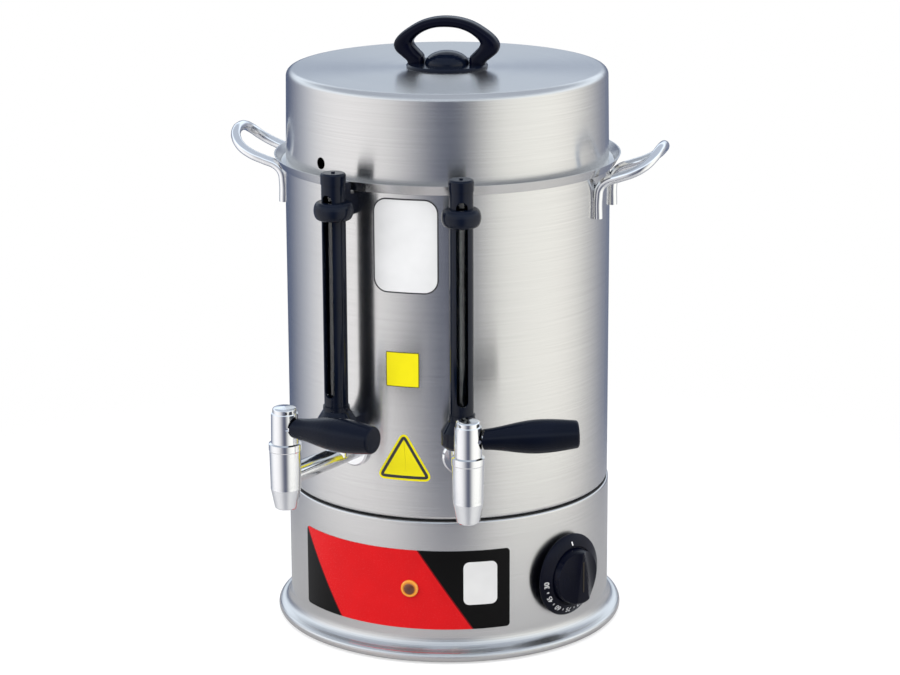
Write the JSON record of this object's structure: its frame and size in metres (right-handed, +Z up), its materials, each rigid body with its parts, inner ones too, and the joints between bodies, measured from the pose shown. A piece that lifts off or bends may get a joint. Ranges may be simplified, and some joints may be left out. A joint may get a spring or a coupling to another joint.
{
  "type": "tea urn",
  "caption": "Electric tea urn: steel water tank on a heated base with a brew pot under a tall lid, lever taps with sight tubes, side handles and a thermostat knob.",
  "frame": {"origin": "on the tank's axis, on the floor under the rubber feet", "axes": "+Z up along the tank's axis, -Y towards the front between the taps, +X to the right as seen from the front"},
  "size_m": [0.386, 0.4156, 0.5305],
  "materials": {
    "steel": "satin brushed",
    "chrome": "polished",
    "black_plastic": "gloss",
    "rubber": "matte",
    "heater_metal": "scaled",
    "brass": "plain",
    "pale_plastic": "matte",
    "amber": "gloss",
    "label": "semi-gloss",
    "glass": "clear",
    "silicone": "matte",
    "plunger_plastic": "matte",
    "spring_steel": "plain"
  },
  "bodies": {
    "urn": {"base_shell": "steel", "base_plate": "steel", "base_feet": "rubber", "base_plate_screws": "chrome", "seam_ring": "rubber", "cable_gland": "black_plastic", "terminal_block": "pale_plastic", "tank": "steel", "brew_pot": "steel", "brew_pot_floor": "steel", "brew_pot_flange": "steel", "tea_down_pipe": "steel", "heating_element": "heater_metal", "heater_nuts": "brass", "thermostat_body": "pale_plastic", "thermostat_bulb": "brass", "limit_cutout": "pale_plastic", "pilot_lamp_body": "pale_plastic", "pilot_lamp_lens": "amber", "control_label": "label", "left_handle": "chrome", "right_handle": "chrome", "tap_washers": "chrome", "clamp_screws": "chrome", "lever_pins": "chrome", "tea_tap_body": "chrome", "tea_lock_nut": "chrome", "tea_nozzle": "chrome", "tea_tap_cap": "chrome", "tea_spring": "spring_steel", "tea_sight_holder": "black_plastic", "tea_sight_glass": "glass", "tea_sight_guard": "black_plastic", "tea_sight_cap": "black_plastic", "tea_sight_clamp": "black_plastic", "water_tap_body": "chrome", "water_lock_nut": "chrome", "water_nozzle": "chrome", "water_tap_cap": "chrome", "water_spring": "spring_steel", "water_sight_holder": "black_plastic", "water_sight_glass": "glass", "water_sight_guard": "black_plastic", "water_sight_cap": "black_plastic", "water_sight_clamp": "black_plastic"},
    "strainer": {"strainer": "steel", "strainer_floor": "steel", "strainer_bail": "chrome"},
    "lid": {"lid": "steel", "lid_top_disc": "steel", "lid_handle": "black_plastic", "lid_handle_base": "black_plastic", "lid_screws": "chrome"},
    "knob": {"knob": "black_plastic", "knob_shaft": "chrome"},
    "tea_lever": {"tea_lever_arm": "chrome", "tea_lever_grip": "black_plastic"},
    "tea_plunger": {"tea_plunger": "plunger_plastic", "tea_plunger_seal": "silicone"},
    "water_lever": {"water_lever_arm": "chrome", "water_lever_grip": "black_plastic"},
    "water_plunger": {"water_plunger": "plunger_plastic", "water_plunger_seal": "silicone"}
  },
  "joints": [
    {"name": "strainer_lift", "type": "slide", "parent": "urn", "child": "strainer", "axis": [0, 0, 1], "range_m": [0, 0.16]},
    {"name": "lid_lift", "type": "slide", "parent": "strainer", "child": "lid", "axis": [0, 0, 1], "range_m": [0, 0.13]},
    {"name": "knob_turn", "type": "hinge", "parent": "urn", "child": "knob", "pos_m": [0.12211, -0.0705, 0.064], "axis": [0.866, -0.5, 0], "range_deg": [-270, 0]},
    {"name": "tea_lever_press", "type": "hinge", "parent": "urn", "child": "tea_lever", "pos_m": [-0.06912, -0.22686, 0.2255], "axis": [-0.3256, -0.9455, 0], "range_deg": [-12, 0], "stiffness_Nm_per_rad": 0.3, "springref_deg": 17.19},
    {"name": "tea_plunger_lift", "type": "slide", "parent": "urn", "child": "tea_plunger", "axis": [0, 0, 1], "range_m": [0, 0.002], "deforming": ["tea_spring"]},
    {"name": "water_lever_press", "type": "hinge", "parent": "urn", "child": "water_lever", "pos_m": [0.0852, -0.22132, 0.2255], "axis": [0.3256, -0.9455, 0], "range_deg": [-12, 0], "stiffness_Nm_per_rad": 0.3, "springref_deg": 17.19},
    {"name": "water_plunger_lift", "type": "slide", "parent": "urn", "child": "water_plunger", "axis": [0, 0, 1], "range_m": [0, 0.002], "deforming": ["water_spring"]}
  ],
  "couplings": [
    {"joint": "tea_plunger_lift", "follows": "tea_lever_press", "m_per_rad": -0.0085},
    {"joint": "water_plunger_lift", "follows": "water_lever_press", "m_per_rad": -0.0085}
  ]
}
